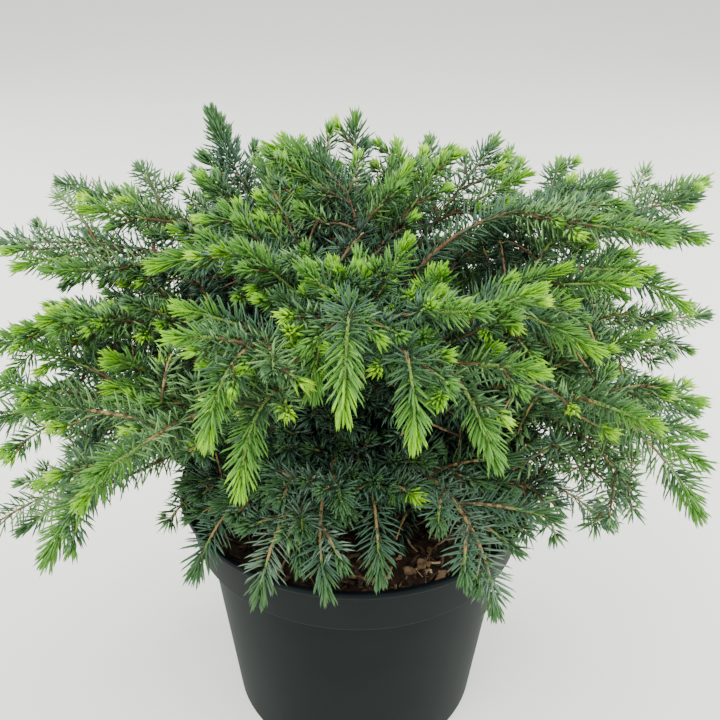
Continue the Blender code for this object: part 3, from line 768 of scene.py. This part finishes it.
def shoot_look(kind, vigour, shaded, blueness, outer, length, draw):
    """Colours and length of the new growth of one shoot."""
    # Painted shade: shaded shoots, limbs and inner twigs get dark needle colours in place of light and shadow
    if kind in ("limb", "inner") or draw.uniform() < shaded * (0.5 if kind == "stem" else 1):
        # Painted light: shaded shoots on the crown's sides keep lighter colours than those inside
        if outer:
            return (draw.choice([BLUE, GREEN, GREEN, MID_AND_LIT]), MID_AND_LIT, GREEN, GREEN), 0.0
        return (draw.choice([PAINTED_SHADE, PAINTED_SHADE, BLUE]), PAINTED_SHADE, PAINTED_SHADE, GREEN), 0.0
    olds = [BLUE, BLUE, PALE] if draw.uniform() < blueness else [BLUE, GREEN, GREEN, MID_AND_LIT]
    # Painted light: old needles on the crown's sides are mostly the lighter mid green
    if outer and blueness < 0.7:
        olds = [MID_AND_LIT, MID_AND_LIT, MID_AND_LIT, GREEN, BLUE]
    old = draw.choice(olds)
    if draw.uniform() > vigour * (1.25 if kind == "stem" else 1):
        tip = GREEN if blueness > 0.7 else draw.choice([GREEN, SPRING])
        return (old, old, GREEN, tip), min(0.014, length * 0.4)
    if kind == "fine" and draw.uniform() < 0.3:
        return (old, GREEN, LIME, BUD), min(0.010, length * 0.45)
    fresh_length = {"stem": 0.033, "side": 0.027, "fine": 0.014}[kind] * draw.uniform(0.75, 1.2)
    return (old, GREEN, SPRING, draw.choice([SPRING, LIME, LIME])), min(fresh_length, length * 0.6)


def make_foliage(masses):
    """Needles and twigs of every mass, joined in groups below the piece size."""
    needle_materials = [plain_material("needle_" + name, NEEDLE_COLOURS[name], 0.55, NEEDLE_GLOSS)
                        for name in COLOUR_NAMES]
    twig_materials = [plain_material("twig_" + name, TWIG_COLOURS[name], 0.8) for name in TWIG_NAMES]
    for mass in masses:
        grow_fine(mass, masses)
    fill_inside(masses)
    cloud = np.concatenate([line for mass in masses for line in lines_of(mass) + mass["fine"]])
    shades = []
    batches = [[]]
    size = 0
    for mass in masses:
        draw = np.random.default_rng(9000 + mass["number"])
        vigour, shaded, blueness = MASS_LOOKS[mass["name"]]
        lines = [("stem", mass["stem"], STEM_TWIG_RADIUS, STEM_BARE[mass["carrier"]])]
        lines += [("side", line, SIDE_TWIG_RADIUS, 0.002) for line in mass["sides"]]
        lines += [("fine", line, FINE_TWIG_RADIUS, 0.001) for line in mass["fine"]]
        lines += [("inner", line, FINE_TWIG_RADIUS, 0.001) for line in mass["inner"]]
        if mass["carrier"] == "bough":
            lines.append(("limb", mass["limb"][len(mass["limb"]) // 3:], STEM_TWIG_RADIUS, 0.0))
        rows, twigs = [], []
        for place, (kind, line, radius, bare) in enumerate(lines):
            length = (len(line) - 1) * STEP
            shade = shade_at(line[-1], cloud)
            shades.append(shade)
            # Painted shade: shoots whose tips stand far inside the crown are likelier to get the dark shade colours
            dark = max(shaded, shade ** 2) if mass["name"] not in LOW_FRONT else shaded
            growing = vigour * (1 - shade ** 2)
            # Painted light: shoots past this radius get the lighter colours of the crown's lit sides
            outer = math.hypot(*line[len(line) // 2][:2]) > LIT_RIM_RADIUS
            colours, fresh_length = shoot_look(kind, growing, dark, blueness, outer, length, draw)
            if (mass["name"], place) == BRIGHT_BUD:
                colours, fresh_length = (BLUE, GREEN, LIME, BUD), BRIGHT_BUD_LENGTH
            grade = NEEDLE_SIZES[kind] * (LOW_FRONT_SIZE if mass["name"] in LOW_FRONT else 1)
            if mass["name"] in BOLD_TIPS and kind == "stem":
                grade = BOLD_SIZE
            if mass["name"] == SPIRE and kind == "stem":
                colours, fresh_length = (BLUE, BLUE, GREEN, GREEN), SPIRE_TIP
                grade = SPIRE_SIZE
            full = kind in ("stem", "side")
            rows.append(dress(line, bare, colours, fresh_length, grade, full, draw))
            if mass["name"] == SPIRE and kind == "stem":
                rows.append(dress(line, bare, colours, fresh_length, grade, full, draw))
            if kind == "limb":
                continue
            share = np.linspace(0, 1, len(line))
            radii = (radius + (TWIG_TIP_RADIUS - radius) * share) * draw.uniform(0.80, 1.22, len(line))
            young = (1 - share) * length < fresh_length
            mottle = share + draw.uniform(-0.3, 0.3, len(line))
            paler = TAN_SHARE if mass["name"] in LOW_FRONT + BOLD_TIPS else BROWN_SHARE
            slots = np.where(young, SHOOT, np.where(mottle < paler, BROWN, TAN))
            if full:
                twigs.append((line, radii, slots, STEM_SIDES))
            else:
                kept = np.append(np.arange(0, len(line) - 1, 2), len(line) - 1)
                twigs.append((line[kept], radii[kept], slots[kept], TWIG_SIDES))
        count = sum(len(row[0]) for row in rows)
        if size + count > PIECE_NEEDLES and batches[-1]:
            batches.append([])
            size = 0
        size += count
        batches[-1].append((mass["name"], rows, twigs))
    total = 0
    for number, batch in enumerate(batches):
        nodes = ["spray_" + name for name, rows, twigs in batch]
        rows = [row for name, rows, twigs in batch for row in rows]
        total += sum(len(row[0]) for row in rows)
        add_piece(needle_piece("needles_" + str(number), rows, needle_materials), nodes)
        tubes = Tubes()
        for name, rows, twigs in batch:
            for line, radii, slots, sides in twigs:
                tubes.add(line, radii, slots, sides)
        add_piece(tubes.piece("twigs_" + str(number), twig_materials), nodes)
    print("shade", np.percentile(shades, (10, 25, 50, 75, 90)).round(2))
    print("needles", total, "pieces", len(batches), "shoots", sum(len(m["sides"]) + len(m["fine"]) for m in masses))


def make_wood(masses):
    """Trunk and boughs with the relief of flaky bark."""
    bark = noise_material("bark", (0.036, 0.023, 0.013), (0.130, 0.084, 0.044), 380, 0.9, 0.8)
    draw = np.random.default_rng(31)
    boughs = Tubes()
    for mass in masses:
        if mass["carrier"] != "bough":
            continue
        line = evenly(mass["limb"], 0.0015)
        radii = np.linspace(LIMB_ROOT_RADIUS, LIMB_TIP_RADIUS, len(line))[:, None]
        boughs.add(line, radii * draw.uniform(0.90, 1.12, (len(line), 12)), np.zeros(len(line), dtype=int), 12)
    nodes = ["bough_" + mass["name"] for mass in masses if mass["carrier"] == "bough"]
    add_piece(boughs.piece("boughs", [bark]), nodes)
    trunk = Tubes()
    heights = np.arange(SOIL_TOP + GAP, TRUNK_TOP, 0.0010)
    line = np.array([trunk_axis(height) for height in heights])
    share = ((heights - SOIL_TOP) / (TRUNK_TOP - SOIL_TOP))[:, None]
    angle = (2 * math.pi * np.arange(56) / 56)[None]
    radii = TRUNK_FOOT_RADIUS + (TRUNK_TOP_RADIUS - TRUNK_FOOT_RADIUS) * share
    flare = np.exp(-(heights[:, None] - SOIL_TOP) / FLARE_HEIGHT)
    radii = radii + FLARE_RADIUS * flare * (1 - FLARE_LOBE_DEPTH * (1 - np.cos(FLARE_LOBES * angle)))
    plates = np.sin(9 * angle + 40 * share + 2 * np.sin(25 * share)) * np.sin(160 * share + 4 * np.sin(3 * angle))
    radii = radii * (1 + 0.035 * plates + 0.03 * draw.uniform(-1, 1, radii.shape))
    trunk.add(line, radii, np.zeros(len(line), dtype=int), 56)
    add_piece(trunk.piece("trunk_bark", [bark]), ["trunk"])


def grid_quads(rows, sides):
    """Quads of a turned surface whose rings follow one another."""
    index = np.arange(rows * sides).reshape(rows, sides)
    follow = np.roll(index, -1, axis=1)
    return np.stack((index[:-1], follow[:-1], follow[1:], index[1:]), -1).reshape(-1, 4)


def turned(name, profile, sides, material):
    """A turned shell from a profile of radius and height."""
    profile = np.array(profile)
    angles = 2 * math.pi * np.arange(sides) / sides
    points = np.zeros((len(profile), sides, 3))
    points[:, :, 0] = profile[:, 0, None] * np.cos(angles)
    points[:, :, 1] = profile[:, 0, None] * np.sin(angles)
    points[:, :, 2] = profile[:, 1, None]
    quads = grid_quads(len(profile), sides)
    item = mesh_from(name, points.reshape(-1, 3), quads, NO_TRIANGLES, np.zeros(len(quads), dtype=int), NO_SLOTS,
                     [material])
    item.data.set_sharp_from_angle(angle=math.radians(40))
    return item


def make_pot():
    plastic = noise_material("pot_plastic", (0.0018, 0.0037, 0.0050), (0.0033, 0.0054, 0.0068), 30, 0.55, 0.03,
                             specular=0.08)
    lip = POT_HEIGHT - POT_LIP_HEIGHT
    profile = [
        (0.0, 0.0), (POT_FOOT_RADIUS - 0.0015, 0.0), (POT_FOOT_RADIUS - 0.0004, 0.0005),
        (POT_FOOT_RADIUS, 0.0016), (POT_FOOT_RADIUS + 0.0001, 0.0026), (POT_BODY_TOP_RADIUS, POT_BAND_BOTTOM),
        (POT_BAND_RADIUS - 0.0008, POT_BAND_BOTTOM + 0.0002), (POT_BAND_RADIUS, POT_BAND_BOTTOM + 0.0012),
        (POT_BAND_RADIUS + 0.0001, POT_BAND_BOTTOM + 0.0019), (POT_BAND_TOP_RADIUS - 0.0001, lip - 0.0007),
        (POT_BAND_TOP_RADIUS, lip), (POT_LIP_RADIUS - 0.0006, lip + 0.0004), (POT_LIP_RADIUS, lip + 0.0012),
        (POT_LIP_RADIUS, POT_HEIGHT - 0.0014), (POT_LIP_RADIUS - 0.0004, POT_HEIGHT - 0.0004),
        (POT_LIP_RADIUS - 0.0012, POT_HEIGHT), (POT_LIP_RADIUS - 0.0026, POT_HEIGHT - 0.0002),
        (POT_BAND_TOP_RADIUS - POT_WALL, lip), (POT_BAND_RADIUS - POT_WALL, POT_BAND_BOTTOM + 0.0020),
        (POT_BODY_TOP_RADIUS - POT_WALL, POT_BAND_BOTTOM + 0.0009), (POT_FOOT_RADIUS - POT_WALL, POT_FLOOR),
        (0.0, POT_FLOOR),
    ]
    add_piece(turned("pot_shell", profile, 160, plastic), ["pot"])


def make_chips(draw, materials):
    """Shreds and flakes of bark, each a bent strip of uneven width."""
    stations = 4
    points, quads, slots = [], [], []
    box = [[0, 1, 3, 2]]
    for k in range(stations - 1):
        a, b = 4 * k, 4 * k + 4
        box += [[a, b, b + 1, a + 1], [a + 2, a + 3, b + 3, b + 2], [a, a + 2, b + 2, b], [a + 1, b + 1, b + 3, a + 3]]
    end = 4 * stations - 4
    box.append([end, end + 2, end + 3, end + 1])
    box = np.array(box)
    number = 0
    while number < 1500:
        out = math.sqrt(draw.uniform(0.015, 1)) * (POT_BAND_TOP_RADIUS - 0.0065)
        turn = draw.uniform(0, 2 * math.pi)
        shred = draw.uniform() < 0.6
        length = draw.uniform(0.005, 0.013) if shred else draw.uniform(0.003, 0.008)
        width = draw.uniform(0.0004, 0.0012) if shred else draw.uniform(0.0015, 0.0042)
        thick = draw.uniform(0.0003, 0.0008) if shred else draw.uniform(0.0004, 0.0011)
        along = np.linspace(-0.5, 0.5, stations) * length
        wide = width * draw.uniform(0.5, 1.2, stations)
        side = np.cumsum(draw.normal(0, 0.0004, stations))
        rise = draw.normal(0, 0.08) * length * np.linspace(-1, 1, stations) ** 2
        shape = np.zeros((stations, 4, 3))
        for k, (a, b) in enumerate(((-1, -1), (1, -1), (-1, 1), (1, 1))):
            shape[:, k, 0] = along
            shape[:, k, 1] = side + a * wide / 2 * draw.uniform(0.8, 1.2, stations)
            shape[:, k, 2] = rise + b * thick / 2
        spin = Matrix.Rotation(draw.uniform(0, 2 * math.pi), 3, "Z") @ Matrix.Rotation(draw.normal(0, 0.16), 3, "Y")
        spin = spin @ Matrix.Rotation(draw.normal(0, 0.35), 3, "X")
        height = SOIL_TOP + draw.uniform(0, 0.0026)
        centre = np.array((out * math.cos(turn), out * math.sin(turn), height))
        placed = shape.reshape(-1, 3) @ np.array(spin).T + centre
        if np.hypot(placed[:, 0], placed[:, 1]).max() > POT_BAND_TOP_RADIUS - POT_WALL - 0.0012:
            continue
        points.append(placed)
        quads.append(box + number * stations * 4)
        on_top = height > SOIL_TOP + 0.0012
        in_lit_gap = np.linalg.norm(centre[:2] - LIT_MULCH_GAP) < LIT_MULCH_GAP_RADIUS
        # Painted light and shade: paler chips where the light reaches the mulch, darker ones under the foliage
        slots.append(np.full(len(box), draw.choice([0, 1, 1, 2, 2, 3] if on_top and in_lit_gap else [0, 0, 0, 1, 1, 2])))
        number += 1
    item = mesh_from("mulch_chips", np.concatenate(points), np.concatenate(quads), NO_TRIANGLES,
                     np.concatenate(slots), NO_SLOTS, materials)
    item.data.polygons.foreach_set("use_smooth", np.zeros(len(item.data.polygons), dtype=bool))
    return item


def make_mulch():
    earth = noise_material("mulch_ground", (0.012, 0.007, 0.004), (0.060, 0.030, 0.016), 260, 0.95, 1.0)
    draw = np.random.default_rng(77)
    radii = np.concatenate(([0.0], np.linspace(0.006, POT_BAND_TOP_RADIUS - POT_WALL - 0.0012, 40)))
    sides = 140
    angles = 2 * math.pi * np.arange(sides) / sides
    points = np.zeros((len(radii), sides, 3))
    points[:, :, 0] = radii[:, None] * np.cos(angles)
    points[:, :, 1] = radii[:, None] * np.sin(angles)
    rough = draw.uniform(-1, 1, (len(radii), sides)) * 0.0008
    swell = 0.0012 * np.sin(points[:, :, 0] * 170 + 1) * np.cos(points[:, :, 1] * 140)
    points[:, :, 2] = SOIL_TOP - 0.0006 + rough + swell
    quads = grid_quads(len(radii), sides)
    ground = mesh_from("mulch_ground", points.reshape(-1, 3), quads, NO_TRIANGLES, np.zeros(len(quads), dtype=int),
                       NO_SLOTS, [earth])
    add_piece(ground, ["mulch"])
    chip_looks = (
        ("chip_dark", (0.012, 0.008, 0.005), (0.050, 0.030, 0.018)),
        ("chip_brown", (0.035, 0.020, 0.011), (0.120, 0.070, 0.036)),
        ("chip_tan", (0.110, 0.066, 0.034), (0.290, 0.180, 0.092)),
        ("chip_pale", (0.330, 0.210, 0.110), (0.600, 0.440, 0.240)),
    )
    materials = [noise_material(name, dark, light, 420, 0.9, 0.6) for name, dark, light in chip_looks]
    add_piece(make_chips(draw, materials), [])


def make_stage():
    """A plain pale floor, round so that its edge is level from every side."""
    sides = 96
    angles = 2 * math.pi * np.arange(sides) / sides
    mesh = bpy.data.meshes.new("floor")
    corners = [(30 * math.cos(angle), 30 * math.sin(angle), 0.0) for angle in angles]
    mesh.from_pydata(corners, [], [tuple(range(sides))])
    floor = bpy.data.objects.new("floor", mesh)
    bpy.context.scene.collection.objects.link(floor)
    mesh.materials.append(plain_material("floor_pale", (0.81, 0.84, 0.73), 0.7))


def area_light(name, place, size, energy):
    data = bpy.data.lights.new(name, "AREA")
    data.shape = "DISK"
    data.size = size
    data.energy = energy
    light = bpy.data.objects.new(name, data)
    light.location = place
    aim = Vector((0, 0, 0.18)) - Vector(place)
    light.rotation_euler = aim.to_track_quat("-Z", "Y").to_euler()
    bpy.context.scene.collection.objects.link(light)


def make_light():
    world = bpy.data.worlds.new("studio")
    world.use_nodes = True
    background = world.node_tree.nodes["Background"]
    background.inputs["Color"].default_value = (0.95, 0.97, 1.0, 1.0)
    background.inputs["Strength"].default_value = 1.6
    bpy.context.scene.world = world
    area_light("key", (-0.7, -0.9, 1.7), 1.2, 28)
    area_light("fill", (1.3, -0.3, 1.3), 1.2, 18)
    area_light("left_side", (-1.5, 0.5, 0.9), 1.2, 40)
    area_light("right_side", (1.5, 0.5, 0.9), 1.2, 38)


def make_camera():
    pitch, roll = math.radians(CAMERA_PITCH), math.radians(CAMERA_ROLL)
    forward = Vector((0, math.cos(pitch), -math.sin(pitch)))
    above = Vector((0, math.sin(pitch), math.cos(pitch)))
    right = Vector((1, 0, 0))
    side = right * math.cos(roll) + above * math.sin(roll)
    top = above * math.cos(roll) - right * math.sin(roll)
    data = bpy.data.cameras.new("camera")
    data.sensor_width = SENSOR_WIDTH
    data.lens = SENSOR_WIDTH * FOCAL_PIXELS / FRAME_PIXELS
    data.clip_start = 0.01
    camera = bpy.data.objects.new("camera", data)
    turn = Matrix((side, top, -forward)).transposed().to_4x4()
    camera.matrix_world = Matrix.Translation(CAMERA_PLACE) @ turn
    bpy.context.scene.collection.objects.link(camera)
    bpy.context.scene.camera = camera


make_camera()
make_light()
make_stage()
limbs = plan_limbs()
grow_side_shoots(limbs)
make_foliage(limbs)
make_wood(limbs)
make_pot()
make_mulch()
